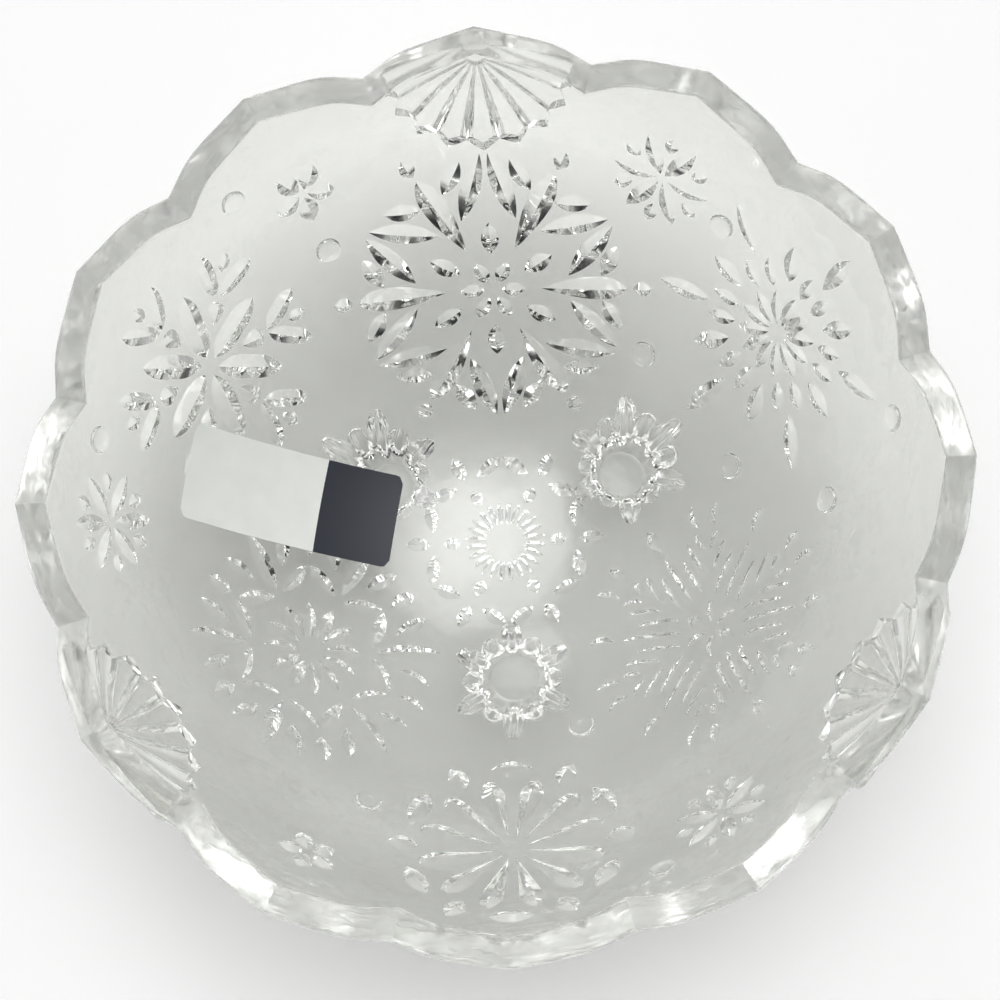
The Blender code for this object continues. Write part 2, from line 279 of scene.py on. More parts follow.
def capThrough(low, edgeRadius, edgeHeight):
    # the sphere of a cap that runs from its lowest point out to its edge
    depth = edgeHeight - low
    radius = (edgeRadius ** 2 + depth ** 2) / (2 * depth)
    return {"radius": radius, "centre": low + radius}


rimHeight = bowl["height"] - bowl["rimRounding"]
outside = capThrough(bowl["footHeight"], bowl["diameter"] / 2, rimHeight)
inside = capThrough(bowl["footHeight"] + bowl["base"],
                    bowl["diameter"] / 2 - bowl["rimWidth"], rimHeight)


def capHeight(cap, distance):
    return cap["centre"] - math.sqrt(cap["radius"] ** 2 - distance ** 2)


def capPoint(cap, bearing, along, across, lift=0.0):
    # along runs down the bearing's line from the axis, across is square to it, lift goes out
    turn = math.radians(bearing)
    away = Vector((math.cos(turn), math.sin(turn), 0))
    side = Vector((-math.sin(turn), math.cos(turn), 0))
    slope = along / cap["radius"]
    lean = across / cap["radius"]
    line = away * math.sin(slope) + Vector((0, 0, -1)) * math.cos(slope)
    direction = line * math.cos(lean) + side * math.sin(lean)
    return Vector((0, 0, cap["centre"])) + direction * (cap["radius"] + lift)


def profileStations():
    # each ring of the bowl: share of the way up its cap, inside or not, and turn over the rim
    outer, inner, quarter = bowl["outerRings"], bowl["innerRings"], bowl["roundingSteps"]
    turns = [math.pi / 2 * i / quarter for i in range(quarter + 1)]
    return ([(i / outer, 0.0, 0.0) for i in range(outer)]
            + [(1.0, 0.0, turn) for turn in turns]
            + [(1.0, 1.0, turn) for turn in turns[::-1]]
            + [(i / inner, 1.0, 0.0) for i in range(inner - 1, -1, -1)])


profileMarks = ("share", "within", "turn", "bearing")


def bowlGrid():
    # a tube of rings with poles, whose points say where on the profile they lie
    columns = bowl["scallops"] * bowl["stepsPerScallop"]
    form = bmesh.new()
    layers = [form.verts.layers.float.new(name) for name in profileMarks]
    rings = []
    for station in profileStations():
        pole = station[0] == 0.0
        ring = []
        for column in range(1 if pole else columns):
            vertex = form.verts.new((0, 0, 0))
            for layer, value in zip(layers, (*station, 2 * math.pi * column / columns)):
                vertex[layer] = value
            ring.append(vertex)
        rings.append(ring)
    skin(form, rings)
    return meshFrom(form, "bowlGrid")


def scallopTree():
    # sets the rings of the grid on the two caps, under a rim of pointed arches
    tree, given, result = newTree("scalloped bowl", [
        ("Height", "Float", 0.066), ("Rounding", "Float", 0.0009), ("Corner", "Float", 0.5),
        ("Outer Radius", "Float", 0.08), ("Outer Centre", "Float", 0.09),
        ("Inner Radius", "Float", 0.08), ("Inner Centre", "Float", 0.09),
        ("Scallops", "Int", 12), ("Rise", "Float", 0.007),
        ("Shoulder", "Float", 0.12), ("Shoulder Place", "Float", 1.6),
        ("Material", "Material", None)])
    size = given.outputs
    do = partial(calc, tree)
    at = {name: addNode(tree, "GeometryNodeInputNamedAttribute", {"data_type": "FLOAT"},
                        Name=name).outputs["Attribute"]
          for name in profileMarks}
    pitches = do("DIVIDE", do("MULTIPLY", at["bearing"], size["Scallops"]), 2 * math.pi)
    fromTip = do("MULTIPLY", do("PINGPONG", pitches, 0.5), 2.0)
    arch = do("SINE", do("MULTIPLY", do("POWER", fromTip, size["Shoulder Place"]), math.pi))
    swell = do("MULTIPLY", do("MULTIPLY", arch, arch), size["Shoulder"])
    drop = do("MULTIPLY", do("SUBTRACT", fromTip, swell), size["Rise"])
    edge = do("SUBTRACT", do("SUBTRACT", size["Height"], drop), size["Rounding"])

    def either(outer, inner):
        return do("ADD", outer, do("MULTIPLY", at["within"], do("SUBTRACT", inner, outer)))

    radius = either(size["Outer Radius"], size["Inner Radius"])
    centre = either(size["Outer Centre"], size["Inner Centre"])
    rimAngle = do("ARCCOSINE", do("DIVIDE", do("SUBTRACT", centre, edge), radius))
    angle = do("MULTIPLY", rimAngle, at["share"])
    inwards = do("SUBTRACT", do("MULTIPLY", at["within"], 2.0), 1.0)
    forward = do("POWER", do("MAXIMUM", do("COSINE", at["turn"]), 0.0), size["Corner"])
    upward = do("POWER", do("SINE", at["turn"]), size["Corner"])
    shift = do("MULTIPLY", do("SUBTRACT", 1.0, forward), size["Rounding"])
    distance = do("ADD", do("MULTIPLY", radius, do("SINE", angle)), do("MULTIPLY", shift, inwards))
    height = do("SUBTRACT", centre, do("MULTIPLY", radius, do("COSINE", angle)))
    height = do("ADD", height, do("MULTIPLY", upward, size["Rounding"]))
    place = addNode(tree, "ShaderNodeCombineXYZ", Z=height,
                    X=do("MULTIPLY", distance, do("COSINE", at["bearing"])),
                    Y=do("MULTIPLY", distance, do("SINE", at["bearing"])))
    shaped = addNode(tree, "GeometryNodeSetPosition", Geometry=size["Geometry"],
                     Position=place.outputs["Vector"])
    return finishTree(tree, shaped.outputs["Geometry"], size["Material"], result)


def roundAxisTree():
    # copies one fan or foot round the bowl's axis
    tree, given, result = newTree("round the axis", [
        ("Copies", "Int", 3), ("Material", "Material", None)])
    size = given.outputs
    points, angle = pointsRound(tree, size["Copies"])
    turn = addNode(tree, "ShaderNodeCombineXYZ", Z=angle)
    copies = addNode(tree, "GeometryNodeInstanceOnPoints", Points=points,
                     Instance=size["Geometry"], Rotation=turn.outputs["Vector"])
    return finishTree(tree, copies.outputs["Instances"], size["Material"], result)


bowlMesh = plainMesh("bowlForm", bowlGrid(), scallopTree(), {
    "Height": bowl["height"], "Rounding": bowl["rimRounding"], "Corner": bowl["rimCorner"],
    "Outer Radius": outside["radius"], "Outer Centre": outside["centre"],
    "Inner Radius": inside["radius"], "Inner Centre": inside["centre"],
    "Scallops": bowl["scallops"], "Rise": bowl["rise"], "Shoulder": bowl["shoulder"],
    "Shoulder Place": bowl["shoulderPlace"], "Material": pressedGlass})
aroundAxis = roundAxisTree()
print("bowl shaped:", len(bowlMesh.polygons), "faces")


# Fans under every fourth scallop

fans = {
    "copies": 3,
    "bearing": 90,           # of one fan, with the others round the axis
    "rays": 9,
    "rayAngle": 18,          # degrees from ray to ray
    "length": 0.0214,        # apex to the end of the middle ray
    "sideLength": 0.0180,
    "point": 0.0022,         # how far a ray's end stands past its corners
    "endSlope": 68,          # degrees between a ray's end facet and the wall
    "apexDrop": 0.0062,      # scallop tip to the apex, down the glass
    "apexWidth": 0.0016,
    "relief": 0.0022,        # crown over the wall, at the ray's end
    "apexRelief": 0.4,       # relief at the apex, as a share of that at the end
    "valley": 0.8,           # how far the valleys fall, as a share of the relief
    "flatness": 4.0,         # 2 is a round crown, more is flatter with narrower valleys
    "root": 0.0010,          # how deep the fan is sunk into the wall
    "endRoot": 0.00005,      # how deep the end facets run out in the wall
    "stepsPerRay": 10,
    "stepsAlong": 12,
}


def fanRow(part, raised, foot):
    # points across the fan: foot is the lower edge of the end facets
    tip = outside["radius"] * math.acos((outside["centre"] - bowl["height"]) / outside["radius"])
    steps = fans["rays"] * fans["stepsPerRay"]
    row = []
    for i in range(steps + 1):
        ray = i / fans["stepsPerRay"]
        fromCrown = 2 * abs(ray - int(min(ray, fans["rays"] - 0.5)) - 0.5)
        direction = math.radians((ray - fans["rays"] / 2) * fans["rayAngle"])
        longest = fans["length"] + (fans["sideLength"] - fans["length"]) * math.sin(direction) ** 2
        end = longest - fans["point"] * fromCrown
        ridge = fans["relief"] * (1 - fans["valley"] * fromCrown ** fans["flatness"])
        edge = end if foot else end - ridge / math.tan(math.radians(fans["endSlope"]))
        reach = fans["apexWidth"] + (edge - fans["apexWidth"]) * part
        lift = ridge * (fans["apexRelief"] + (1 - fans["apexRelief"]) * part)
        if foot:
            lift = -fans["endRoot"]
        if not raised:
            lift = -fans["root"]
        along = tip - fans["apexDrop"] - reach * math.cos(direction)
        across = reach * math.sin(direction)
        row.append(capPoint(outside, fans["bearing"], along, across, lift))
    return row


fanRows = [(i / fans["stepsAlong"], False) for i in range(fans["stepsAlong"] + 1)] + [(1.0, True)]
fanMesh = closedSheet("fanForm",
                      [fanRow(part, True, foot) for part, foot in fanRows],
                      [fanRow(part, False, foot) for part, foot in fanRows])
fanForms = meshObject("fanForms", plainMesh("fans", fanMesh, aroundAxis, {
    "Copies": fans["copies"], "Material": pressedGlass}))
print("fans shaped")


# Snowflake-shaped feet

feet = {
    "copies": 3,
    "bearing": 30,           # of one foot, with the others round the axis
    "circle": 0.0271,        # bowl axis to the middle of a foot
    "lobePairs": 6,          # long and short lobes in turn
    "longLobe": 0.0119,      # middle of the foot to a lobe's tip, at the bowl
    "shortLobe": 0.0094,
    "valley": 0.0081,
    "sole": 0.0047,          # radius of the round sole
    "flare": 1.9,            # over 1, a foot stays slim until it nears the bowl
    "root": 0.0015,          # how far the foot runs up into the bowl's glass
    "stepsPerLobe": 8,
    "levels": 12,
}


def starRadius(turn):
    lobe = turn / (2 * math.pi) * feet["lobePairs"] * 2
    nearest = round(lobe)
    tip = feet["longLobe"] if nearest % 2 == 0 else feet["shortLobe"]
    return feet["valley"] + (tip - feet["valley"]) * (1 - (2 * abs(lobe - nearest)) ** 2)


def footMesh():
    bearing = math.radians(feet["bearing"])
    middle = Vector((math.cos(bearing), math.sin(bearing), 0)) * feet["circle"]
    root = Vector((0, 0, feet["root"]))
    steps = feet["lobePairs"] * 2 * feet["stepsPerLobe"]
    form = bmesh.new()
    rings = []
    for level in [i / feet["levels"] for i in range(feet["levels"] + 1)]:
        ring = []
        for i in range(steps):
            turn = 2 * math.pi * i / steps
            radius = feet["sole"] + (starRadius(turn) - feet["sole"]) * level ** feet["flare"]
            x = middle.x + radius * math.cos(turn + bearing)
            y = middle.y + radius * math.sin(turn + bearing)
            ring.append(form.verts.new((x, y, capHeight(outside, math.hypot(x, y)) * level)))
        rings.append(ring)
    rings.append([form.verts.new(vertex.co + root) for vertex in rings[-1]])
    skin(form, rings)
    form.faces.new(rings[0])
    top = form.verts.new((middle.x, middle.y, capHeight(outside, feet["circle"]) + feet["root"]))
    skin(form, [rings[-1], [top]])
    bmesh.ops.recalc_face_normals(form, faces=form.faces)
    return meshFrom(form, "footForm")


footForms = meshObject("footForms", plainMesh("feet", footMesh(), aroundAxis, {
    "Copies": feet["copies"], "Material": pressedGlass}))
print("feet shaped")


# Snowflakes

leaves = {
    "depthShare": 0.42,      # depth of a cut, as a share of its width
    "flank": 1.03,           # 1 is a straight V, 2 is a round hollow
    "leafEnds": 2,           # 2 is an even curve from end to end, more is blunter at the ends
    "bladeEnds": 3.6,
    "petalSkew": 0.32,       # how far a petal's widest place is moved outwards
    "pencilShoulder": 0.46,  # where a pencil is widest, from -1 to 1
    "above": 0.4,            # how far a cutter stands out of the glass, as a share of its depth
    "aboveFlare": 0.18,      # how much wider it grows on the way
    "steps": 12,
    "arcSteps": 4,           # facets across a cut
    "pencilSteps": (6, 5),   # up to the shoulder and past it
}

# Each snowflake's middle: bearing, then millimetres along the glass from the axis and across.
# Stretch lengthens it along the glass, bend does so more and more outwards, and depth is a
# share of the usual depth of its cuts.
# Each ring: shape, copies, first angle, inner and outer radius, width, sideways offset, lean.
# An offset makes a mirrored pair. Millimetres and degrees.
flakes = {
    "centre": {"bearing": 90, "along": 0.0, "across": 0.5, "rings": [
        ("blade", 12, 0, 3.6, 7.6, 1.15, 0.75, 5),
        ("leaf", 6, 0, 8.5, 11.7, 2.4, 0, 0),
        ("leaf", 6, 30, 11.7, 17.5, 2.6, 2.5, -52),
        ("leaf", 6, 0, 14.2, 19.0, 2.7, 0, 0)]},
    "top": {"bearing": 90, "along": 48.4, "across": 0.2, "stretch": 0.983, "bend": 0.003, "rings": [
        ("leaf", 6, 0, 1.6, 6.2, 2.7, 0, 0),
        ("leaf", 6, 30, 7.0, 13.2, 3.3, 0, 0),
        ("petal", 6, 0, 9.0, 25.5, 4.7, 0, 0),
        ("leaf", 6, 30, 13.3, 26.8, 3.8, 2.9, -19),
        ("leaf", 6, 30, 18.6, 25.6, 3.3, 6.4, -31),
        ("leaf", 6, 0, 26.6, 30.4, 3.0, 0, 0)]},
    "upperRight": {"bearing": 30, "along": 67.3, "across": 1.2, "stretch": 0.96, "rings": [
        ("leaf", 12, 15, 1.8, 8.6, 2.7, 0, 0),
        ("leaf", 6, 30, 9.0, 14.6, 2.7, 2.1, 9.5),
        ("leaf", 6, 0, 10.8, 18.4, 3.5, 0, 0),
        ("leaf", 6, 30, 15.0, 25.6, 3.4, 0, 0)]},
    "upperLeft": {"bearing": 150, "along": 67.6, "across": -0.4, "rings": [
        ("blade", 6, 0, 1.8, 15.0, 4.5, 0, 0),
        ("petal", 6, 30, 7.6, 12.2, 3.6, 0, 0),
        ("blade", 6, 30, 12.4, 21.4, 3.3, 2.9, 34),
        ("leaf", 6, 30, 17.8, 21.4, 2.7, 0, 0)]},
    "lowerLeft": {"bearing": 210, "along": 44.2, "across": -0.6, "depth": 0.85, "rings": [
        ("leaf", 12, 0, 2.6, 9.4, 2.7, 0, 0),
        ("leaf", 6, 30, 9.9, 17.6, 2.8, 2.7, -40),
        ("leaf", 6, 0, 12.8, 24.8, 3.5, 0, 0),
        ("leaf", 6, 30, 16.0, 22.8, 2.8, 5.2, -2),
        ("leaf", 6, 30, 18.4, 23.6, 3.2, 0, 0)]},
    "lowerRight": {"bearing": 330, "along": 44.5, "across": 1.0, "depth": 0.75, "rings": [
        ("leaf", 6, 30, 1.4, 5.6, 2.2, 0, 0),
        ("blade", 6, 0, 6.0, 17.9, 1.7, 0, 0),
        ("blade", 6, 0, 6.4, 15.0, 1.7, 2.6, 0),
        ("blade", 6, 0, 10.2, 17.0, 1.6, 5.0, 0),
        ("blade", 6, 0, 13.8, 17.4, 1.6, 7.3, 0),
        ("leaf", 6, 30, 19.8, 24.4, 2.2, 2.2, 12),
        ("leaf", 6, 0, 19.2, 24.0, 2.6, 0, 0)]},
    "bottom": {"bearing": 270, "along": 67.1, "across": -0.5, "stretch": 1.09, "bend": 0.0032,
               "rings": [
        ("pencil", 12, 15, 2.6, 17.0, 4.2, 0, 0),
        ("leaf", 6, 0, 16.8, 22.4, 3.8, 0, 0),
        ("leaf", 6, 30, 15.4, 23.2, 4.0, 0, 90)]},
    "left": {"bearing": 179, "along": 81.0, "across": 1.0, "rings": [
        ("leaf", 6, 40, 1.0, 9.6, 3.1, 0, 0),
        ("leaf", 6, 10, 5.6, 9.1, 2.4, 0, 0)]},
    "smallTopLeft": {"bearing": 119, "along": 79.6, "across": 0.2, "rings": [
        ("leaf", 5, 48, 0.9, 6.2, 3.8, 0, 0)]},
    "smallBottomLeft": {"bearing": -120.4, "along": 82.6, "across": 0.0, "rings": [
        ("leaf", 5, 20, 0.9, 5.6, 3.6, 0, 0)]},
    "smallTopRight": {"bearing": 62, "along": 78.0, "across": -0.5, "rings": [
        ("leaf", 6, 0, 0.9, 9.4, 3.3, 0, 0),
        ("leaf", 6, 30, 5.8, 9.3, 2.6, 0, 0)]},
    "smallBottomRight": {"bearing": -56, "along": 78.0, "across": -1.3, "rings": [
        ("leaf", 6, 20, 0.9, 9.0, 3.1, 0, 0),
        ("leaf", 6, 50, 5.6, 9.0, 2.4, 0, 0)]},
}

# Raised round buttons between the snowflakes: bearing and distance along the glass, in millimetres
buttons = {
    "radius": 2.4,
    "height": 0.75,
    "flatness": 3.4,         # 2 is a round dome, more is flatter on top
    "root": 0.3,             # how deep a button is sunk into the wall
    "sides": 24,
    "rings": 7,
    "places": [(128.6, 87.2), (120, 66.5), (49.7, 44.4), (168.4, 85.8), (-117.5, 62.2),
               (-71.3, 40.6), (9.0, 84.6), (0.1, 65.3), (-68.7, 84.4), (49.8, 75.4), (13.2, 45.6)],
}


def leafOutline(shape):
    # points along a cut from its inner end: place and width, both as shares, -1 to 1 and 0 to 1
    if shape == "pencil":
        shoulder, (before, past) = leaves["pencilShoulder"], leaves["pencilSteps"]
        turns = [math.pi / 2 * i / past for i in range(1, past + 1)]
        return ([(-1 + (1 + shoulder) * i / before, i / before) for i in range(before + 1)]
                + [(shoulder + (1 - shoulder) * math.sin(turn), math.cos(turn)) for turn in turns])
    ends = leaves["bladeEnds"] if shape == "blade" else leaves["leafEnds"]
    skew = leaves["petalSkew"] if shape == "petal" else 0.0
    places = [2 * i / leaves["steps"] - 1 for i in range(leaves["steps"] + 1)]
    return [(place + skew * (1 - place * place), 1 - abs(place) ** ends) for place in places]


def hollow(across):
    # depth of a cut at a share of its half width: two flanks that meet in a keel, 1 deep
    return 1 - abs(across) ** leaves["flank"]


def leafMesh(shape):
    # a boat with its keel towards +Z, 2 long and 1 wide where it meets the glass at z = 0
    form = bmesh.new()
    steps, above = leaves["arcSteps"], leaves["above"]
    flare = leaves["aboveFlare"] * above
    shares = [2 * i / steps - 1 for i in range(steps + 1)]
    rows = []
    for place, width in leafOutline(shape):
        points = [(place, share * width / 2, width * hollow(share)) for share in shares]
        if width < 1e-6:
            points = [(place, 0, 0)]
        arc = [form.verts.new(point) for point in points]
        low = form.verts.new((place, -width / 2 - flare, -above))
        high = form.verts.new((place, width / 2 + flare, -above))
        rows.append((low, arc, high))
    for (low, arc, high), (nextLow, nextArc, nextHigh) in zip(rows, rows[1:]):
        end, nextEnd = len(arc) - 1, len(nextArc) - 1
        for i in range(steps):
            corners = (arc[min(i, end)], arc[min(i + 1, end)],
                       nextArc[min(i + 1, nextEnd)], nextArc[min(i, nextEnd)])
            form.faces.new(list(dict.fromkeys(corners)))
        form.faces.new((low, arc[0], nextArc[0], nextLow))
        form.faces.new((arc[-1], high, nextHigh, nextArc[-1]))
        form.faces.new((high, low, nextLow, nextHigh))
    for low, arc, high in (rows[0], rows[-1]):
        form.faces.new((low, arc[0], high))
    bmesh.ops.recalc_face_normals(form, faces=form.faces)
    return meshObject(shape + "Cutter", meshFrom(form, shape))


def leafRingTree():
    # one ring of cuts, flat: each copy is turned, pushed sideways, leaned and scaled
    tree, given, result = newTree("leaf ring", [
        ("Leaf", "Object", None), ("Copies", "Int", 6), ("First Angle", "Float", 0.0),
        ("Distance", "Float", 10.0), ("Offset", "Float", 0.0), ("Lean", "Float", 0.0),
        ("Length", "Float", 5.0), ("Width", "Float", 2.0), ("Depth", "Float", 0.8),
        ("Material", "Material", None)])
    size = given.outputs
    do = partial(calc, tree)
    points, fromFirst = pointsRound(tree, size["Copies"])
    angle = do("ADD", fromFirst, size["First Angle"])
    away = addNode(tree, "ShaderNodeCombineXYZ", X=size["Distance"], Y=size["Offset"])
    place = addNode(tree, "ShaderNodeVectorRotate", {"rotation_type": "Z_AXIS"},
                    Vector=away.outputs["Vector"], Angle=angle)
    placed = addNode(tree, "GeometryNodeSetPosition", Geometry=points,
                     Position=place.outputs["Vector"])
    leaf = addNode(tree, "GeometryNodeObjectInfo", Object=size["Leaf"])
    turn = addNode(tree, "ShaderNodeCombineXYZ", Z=do("ADD", angle, size["Lean"]))
    scale = addNode(tree, "ShaderNodeCombineXYZ", X=do("MULTIPLY", size["Length"], 0.5),
                    Y=size["Width"], Z=size["Depth"])
    copies = addNode(tree, "GeometryNodeInstanceOnPoints", Points=placed.outputs["Geometry"],
                     Instance=leaf.outputs["Geometry"], Rotation=turn.outputs["Vector"],
                     Scale=scale.outputs["Vector"])
    return finishTree(tree, copies.outputs["Instances"], size["Material"], result)


ringTree = leafRingTree()
cutters = {shape: leafMesh(shape) for shape in ("leaf", "petal", "blade", "pencil")}
emptyMesh = bpy.data.meshes.new("empty")


def addRing(form, flake, shape, copies, first, inner, outer, width, offset, lean):
    depth = width * leaves["depthShare"] * flake.get("depth", 1.0)
    stretch, bend = flake.get("stretch", 1.0), flake.get("bend", 0.0)
    flat = plainMesh("ring", emptyMesh, ringTree, {
        "Leaf": cutters[shape], "Copies": copies, "First Angle": math.radians(first),
        "Distance": (inner + outer) / 2, "Offset": float(offset), "Lean": math.radians(lean),
        "Length": float(outer - inner), "Width": float(width), "Depth": float(depth),
        "Material": pressedGlass})
    for vertex in flat.vertices:
        x, y, z = vertex.co
        along = flake["along"] + (stretch + bend * y) * y
        vertex.co = capPoint(outside, flake["bearing"], along * mm,
                             (flake["across"] - x) * mm, -z * mm)
    form.from_mesh(flat)
    bpy.data.meshes.remove(flat)


cuts = bmesh.new()
for flake in flakes.values():
    for *ring, offset, lean in flake["rings"]:
        addRing(cuts, flake, *ring, offset, lean)
        if offset:
            addRing(cuts, flake, *ring, -offset, -lean)
cutForms = meshObject("cutForms", meshFrom(cuts, "cuts"))
print("snowflakes laid out:", len(cutForms.data.polygons), "faces")


def addButton(form, bearing, along):
    profile = [(1, -buttons["root"])]
    for level in range(buttons["rings"], -1, -1):
        share = math.sin(math.pi / 2 * level / buttons["rings"])
        profile.append((share, buttons["height"] * (1 - share ** buttons["flatness"])))
    rings = []
    for share, lift in profile:
        reach = buttons["radius"] * share
        ring = []
        for i in range(buttons["sides"] if share else 1):
            turn = 2 * math.pi * i / buttons["sides"]
            point = capPoint(outside, bearing, (along + reach * math.cos(turn)) * mm,
                             reach * math.sin(turn) * mm, lift * mm)
            ring.append(form.verts.new(point))
        rings.append(ring)
    form.faces.new(rings[0])
    skin(form, rings)


raised = bmesh.new()
for place in buttons["places"]:
    addButton(raised, *place)
bmesh.ops.recalc_face_normals(raised, faces=raised.faces)
buttonForms = meshObject("buttonForms", meshFrom(raised, "buttons"))
print("buttons shaped")


# The glass: fans, feet and buttons joined on, snowflakes cut in

joined = (fanForms, footForms, buttonForms)
glass = meshObject("glass", bowlMesh)
for other in (*joined, cutForms):
    modifier = glass.modifiers.new(other.name, "BOOLEAN")
    modifier.operation = "UNION" if other in joined else "DIFFERENCE"
    modifier.object = other
    modifier.solver = "MANIFOLD"
graph = bpy.context.evaluated_depsgraph_get()
glassMesh = bpy.data.meshes.new_from_object(glass.evaluated_get(graph), depsgraph=graph)
glass.modifiers.clear()
glass.data = glassMesh
glassMesh.name = "glass"
glassMesh.materials.clear()
glassMesh.materials.append(pressedGlass)
glassMesh.polygons.foreach_set("material_index", [0] * len(glassMesh.polygons))
for spent in (*joined, cutForms, *cutters.values()):
    bpy.data.objects.remove(spent)
print("glass cut:", len(glassMesh.polygons), "faces,", len(glassMesh.vertices), "points,",
      len(glassMesh.materials), "materials")

smoothing = {
    "sharpFrom": 24,         # degrees between two faces
    "near": 0.00003,         # how far from a cap a point still counts as on it
    "facing": 0.985,         # how squarely a face has to follow the cap
}


def smoothCaps(mesh):
    # true normals on the two caps, so that the glass shows no facets beside a cut
    mesh.shade_smooth()
    mesh.set_sharp_from_angle(angle=math.radians(smoothing["sharpFrom"]))
    normals = [corner.vector.copy() for corner in mesh.corner_normals]
    for cap, sign in ((outside, 1), (inside, -1)):
        centre = Vector((0, 0, cap["centre"]))
        onCap = [abs((vertex.co - centre).length - cap["radius"]) < smoothing["near"]
                 for vertex in mesh.vertices]
        for face in mesh.polygons:
            if not all(onCap[i] for i in face.vertices):
                continue
            if face.normal.dot((face.center - centre).normalized()) * sign < smoothing["facing"]:
                continue
            for loop in face.loop_indices:
                corner = mesh.vertices[mesh.loops[loop].vertex_index].co
                normals[loop] = (corner - centre).normalized() * sign
    mesh.normals_split_custom_set(normals)


smoothCaps(glassMesh)
print("glass smoothed")


# The paper sticker, left blank

sticker = {
    "length": 0.0414,
    "width": 0.0172,
    "panel": 0.0144,         # length of the dark end
    "bearing": 169.4,
    "distance": 0.0412,      # bowl axis to the sticker's middle, along the glass
    "turn": -1.33,
    "thickness": 0.00016,
    "lift": 0.00006,         # gap to the glass
    "corner": 0.0014,
    "steps": (54, 22),
    "pale": ((0.84, 0.87, 0.82, 1), (0.90, 0.92, 0.87, 1)),         # the field's two tones
    "dark": ((0.008, 0.011, 0.022, 1), (0.020, 0.025, 0.040, 1)),   # the dark end's
    "clouds": (160.0, 3.0),
    "cloudSpan": (0.3, 0.7),
    "fibres": (2600.0, 6.0, 0.7),
    "fibreBump": (0.35, 0.00003),
    "fibreDulling": 0.2,     # roughness that the fibres add
    "ragged": 0.00012,       # how far the dark end's edge strays
    "roughness": 0.42,
    "inkGloss": 0.12,        # how much less rough the dark end is
}


def stickerMesh():
    turn = math.radians(sticker["turn"])
    longSteps, wideSteps = sticker["steps"]
    corner = sticker["corner"]
    sheets = []
    for lift in (-sticker["lift"] - sticker["thickness"], -sticker["lift"]):
        sheet = []
        for i in range(longSteps + 1):
            x = sticker["length"] * (i / longSteps - 0.5)
            inset = corner - min(sticker["length"] / 2 - abs(x), corner)
            trim = corner - math.sqrt(max(corner ** 2 - inset ** 2, 0))
            row = []
            for j in range(wideSteps + 1):
                y = (sticker["width"] - 2 * trim) * (j / wideSteps - 0.5)
                along = sticker["distance"] + x * math.cos(turn) - y * math.sin(turn)
                across = x * math.sin(turn) + y * math.cos(turn)
                row.append(capPoint(inside, sticker["bearing"], along, across, lift))
            sheet.append(row)
        sheets.append(sheet)
    mesh = closedSheet("sticker", *sheets)
    places = [(i / longSteps, j / wideSteps)
              for i in range(longSteps + 1) for j in range(wideSteps + 1)] * 2
    layer = mesh.uv_layers.new(name="paper")
    for loop, spot in zip(mesh.loops, layer.data):
        spot.uv = places[loop.vertex_index]
    return mesh


def paperMaterial():
    # coated paper: a pale field and one plain dark end, with fibres
    material, tree, shader = newMaterial("sticker_paper")
    do = partial(calc, tree)
    flat = addNode(tree, "ShaderNodeUVMap", {"uv_map": "paper"}).outputs["UV"]
    place = vectorCalc(tree, "MULTIPLY", "Vector", flat, (sticker["length"], sticker["width"], 0))
    fibres = noise(tree, place, *sticker["fibres"])
    clouds = span(tree, noise(tree, place, *sticker["clouds"]), *sticker["cloudSpan"])
    wobble = do("MULTIPLY", do("SUBTRACT", fibres, 0.5), sticker["ragged"])
    printed = do("LESS_THAN", do("ADD", partOf(tree, place, "X"), wobble), sticker["panel"])
    ink = blend(tree, printed, blend(tree, clouds, *sticker["pale"]),
                blend(tree, fibres, *sticker["dark"]))
    tree.links.new(ink, shader.inputs["Base Color"])
    dull = do("SUBTRACT", sticker["roughness"], do("MULTIPLY", printed, sticker["inkGloss"]))
    tree.links.new(do("ADD", do("MULTIPLY", fibres, sticker["fibreDulling"]), dull),
                   shader.inputs["Roughness"])
    bumpInto(tree, shader, fibres, *sticker["fibreBump"])
    return material


label = meshObject("blank_sticker", stickerMesh())
label.data.materials.append(paperMaterial())
print("sticker shaped")


# Floor, light and camera

card = {
    "pale": (0.98, 0.98, 0.98, 1),
    "mottle": (0.97, 0.97, 0.968, 1),
    "mottleNoise": (60.0, 5.0),
    "mottleBump": (0.05, 0.0002),
    "roughness": 0.9,
    "shine": 0.1,
    "glow": 0.11,            # keeps the card white to its edges
    "halfWidth": 3.0,
    "drop": 0.0002,          # gap under the feet
}


def cardMaterial():
    material, tree, shader = newMaterial("pale_floor")
    place = tree.nodes.new("ShaderNodeTexCoord").outputs["Object"]
    mottle = noise(tree, place, *card["mottleNoise"])
    tree.links.new(blend(tree, mottle, card["mottle"], card["pale"]), shader.inputs["Base Color"])
    bumpInto(tree, shader, mottle, *card["mottleBump"])
    shader.inputs["Roughness"].default_value = card["roughness"]
    shader.inputs["Specular IOR Level"].default_value = card["shine"]
    shader.inputs["Emission Color"].default_value = (1, 1, 1, 1)
    shader.inputs["Emission Strength"].default_value = card["glow"]
    return material


form = bmesh.new()
bmesh.ops.create_grid(form, x_segments=1, y_segments=1, size=card["halfWidth"])
floorMesh = meshFrom(form, "floor")
floorMesh.materials.append(cardMaterial())
floorMesh.transform(Matrix.Translation((0, 0, -card["drop"])))
floor = meshObject("floor", floorMesh)

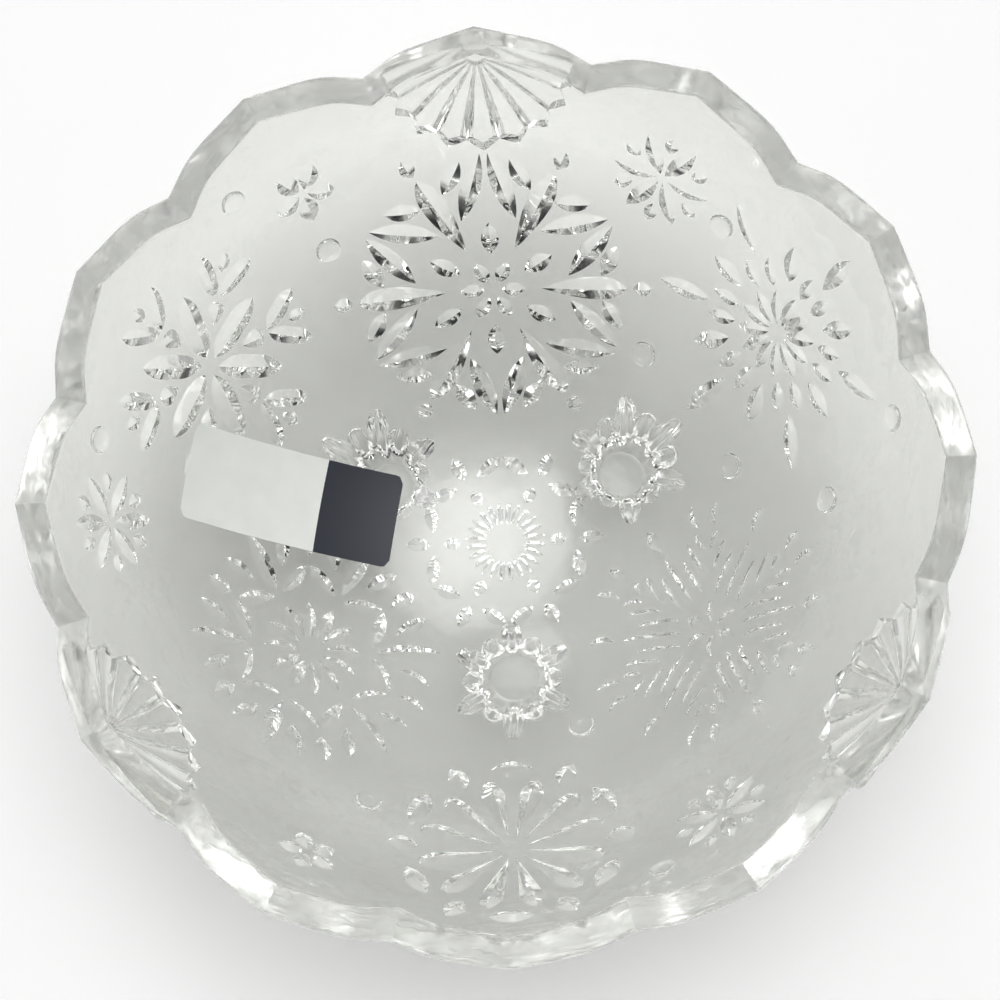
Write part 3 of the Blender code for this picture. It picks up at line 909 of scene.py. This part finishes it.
# Each patch of the room: the direction of its middle, how squarely a direction has to face
# that to be in the patch, from -1 to 1, and levels from the patch's edge at 0 to its middle at
# 1. The shade's levels are the share of the light that it takes away.
room = {
    "overhead": ((0.08, 0.12, 0.80), 0.8, ((0.0, 0.0), (0.4, 0.0), (0.75, 2.7), (1.0, 4.8))),
    "wall": ((0.8, 0.6, 0.0), 0.0, ((0.0, 0.0), (0.5, 0.15), (1.0, 0.3))),
    "shade": ((0.05, -0.80, 0.85), 0.7, ((0.0, 0.0), (0.6, 0.75), (1.0, 0.95))),
    "window": ((-0.10, 0.62, 0.70), 0.98, ((0.0, 0.0), (0.25, 0.0), (0.75, 1.6), (1.0, 2.0))),
    "dome": 0.45,            # level everywhere else
    "wallFall": 0.8,         # under 1, the wall fades sooner above the horizon
}

world = bpy.data.worlds.new("studio")
scene.world = world
world.use_nodes = True
sky = world.node_tree
background = sky.nodes["Background"]
heading = sky.nodes.new("ShaderNodeTexCoord").outputs["Generated"]


def patch(name):
    direction, start, stops = room[name]
    facing = vectorCalc(sky, "DOT_PRODUCT", "Value", heading, Vector(direction).normalized())
    node = addNode(sky, "ShaderNodeValToRGB", Fac=span(sky, facing, start, 1.0))
    ramp = node.color_ramp
    ramp.interpolation = "EASE"
    while len(ramp.elements) < len(stops):
        ramp.elements.new(0.5)
    for element, (place, level) in zip(ramp.elements, stops):
        element.position = place
        element.color = (level, level, level, 1)
    return node.outputs["Color"]


inSky = partial(calc, sky)
height = inSky("MAXIMUM", partOf(sky, heading, "Z"), 0.0)
low = inSky("SUBTRACT", 1.0, inSky("POWER", height, room["wallFall"]))
lit = inSky("ADD", inSky("MULTIPLY", patch("wall"), low), patch("overhead"))
lit = inSky("ADD", lit, room["dome"])
lit = inSky("MULTIPLY", lit, inSky("SUBTRACT", 1.0, patch("shade")))
sky.links.new(inSky("ADD", lit, patch("window")), background.inputs["Strength"])
background.inputs["Color"].default_value = (1, 1, 1, 1)
print("floor and light placed")

shot = {
    "sensor": 36,
    "lens": 97.2,
    "place": (0.018975, -0.094448, 0.499490),
    "right": (0.99788, -0.04172, -0.04989),
    "back": (0.04031, -0.20529, 0.97787),
}

cameraData = bpy.data.cameras.new("camera")
cameraData.sensor_width = shot["sensor"]
cameraData.lens = shot["lens"]
camera = bpy.data.objects.new("camera", cameraData)
back = Vector(shot["back"]).normalized()
up = back.cross(Vector(shot["right"])).normalized()
axes = Matrix((up.cross(back), up, back)).transposed().to_4x4()
camera.matrix_world = Matrix.Translation(shot["place"]) @ axes
scene.collection.objects.link(camera)
scene.camera = camera

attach(glass, "root")
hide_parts("bowl", "foot_front", "foot_right", "foot_left")
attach(label, "root")
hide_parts("sticker")

print("all pieces placed")
